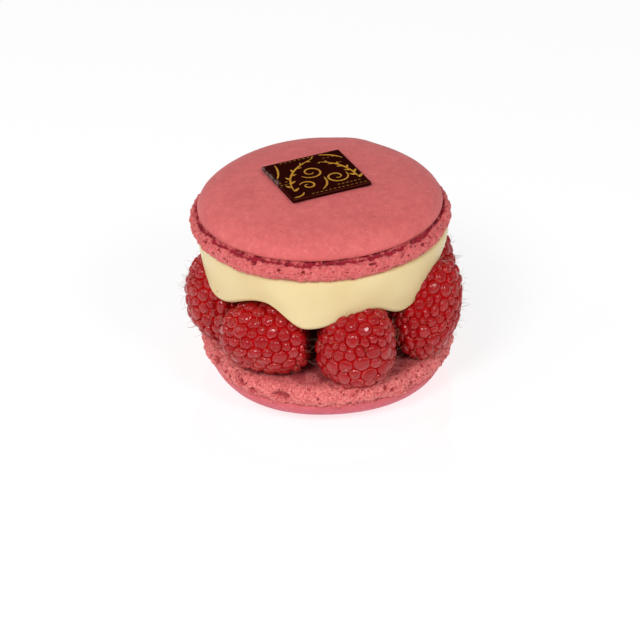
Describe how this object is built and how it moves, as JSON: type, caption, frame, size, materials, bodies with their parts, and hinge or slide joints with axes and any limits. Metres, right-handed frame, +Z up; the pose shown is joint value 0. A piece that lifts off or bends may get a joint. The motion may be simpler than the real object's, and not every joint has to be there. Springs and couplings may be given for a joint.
{
  "type": "raspberry macaron dessert",
  "caption": "Round almond meringue shells, pink, sandwiching raspberries and pale vanilla cream, with a small dark chocolate square on top.",
  "frame": {"origin": "middle of the flat spot under the lower shell, on the surface that the dessert stands on", "axes": "+Z up, -Y towards the front, +X to the right seen from the front"},
  "size_m": [0.08, 0.0792, 0.061],
  "materials": {
    "shell": "matte pink almond meringue with a smooth skin and a crumbly, porous foot",
    "cream": "satin pale yellow vanilla cream with tiny dark specks",
    "raspberry": "moist red fruit skin with a soft bloom",
    "chocolate": "glossy dark chocolate with a gold printed ornament"
  },
  "bodies": {
    "root": {"lower_shell": "shell", "upper_shell": "shell", "cream": "cream", "raspberry_1": "raspberry", "raspberry_2": "raspberry", "raspberry_3": "raspberry", "raspberry_4": "raspberry", "raspberry_5": "raspberry", "raspberry_6": "raspberry", "raspberry_7": "raspberry", "chocolate_square": "chocolate"}
  },
  "joints": []
}
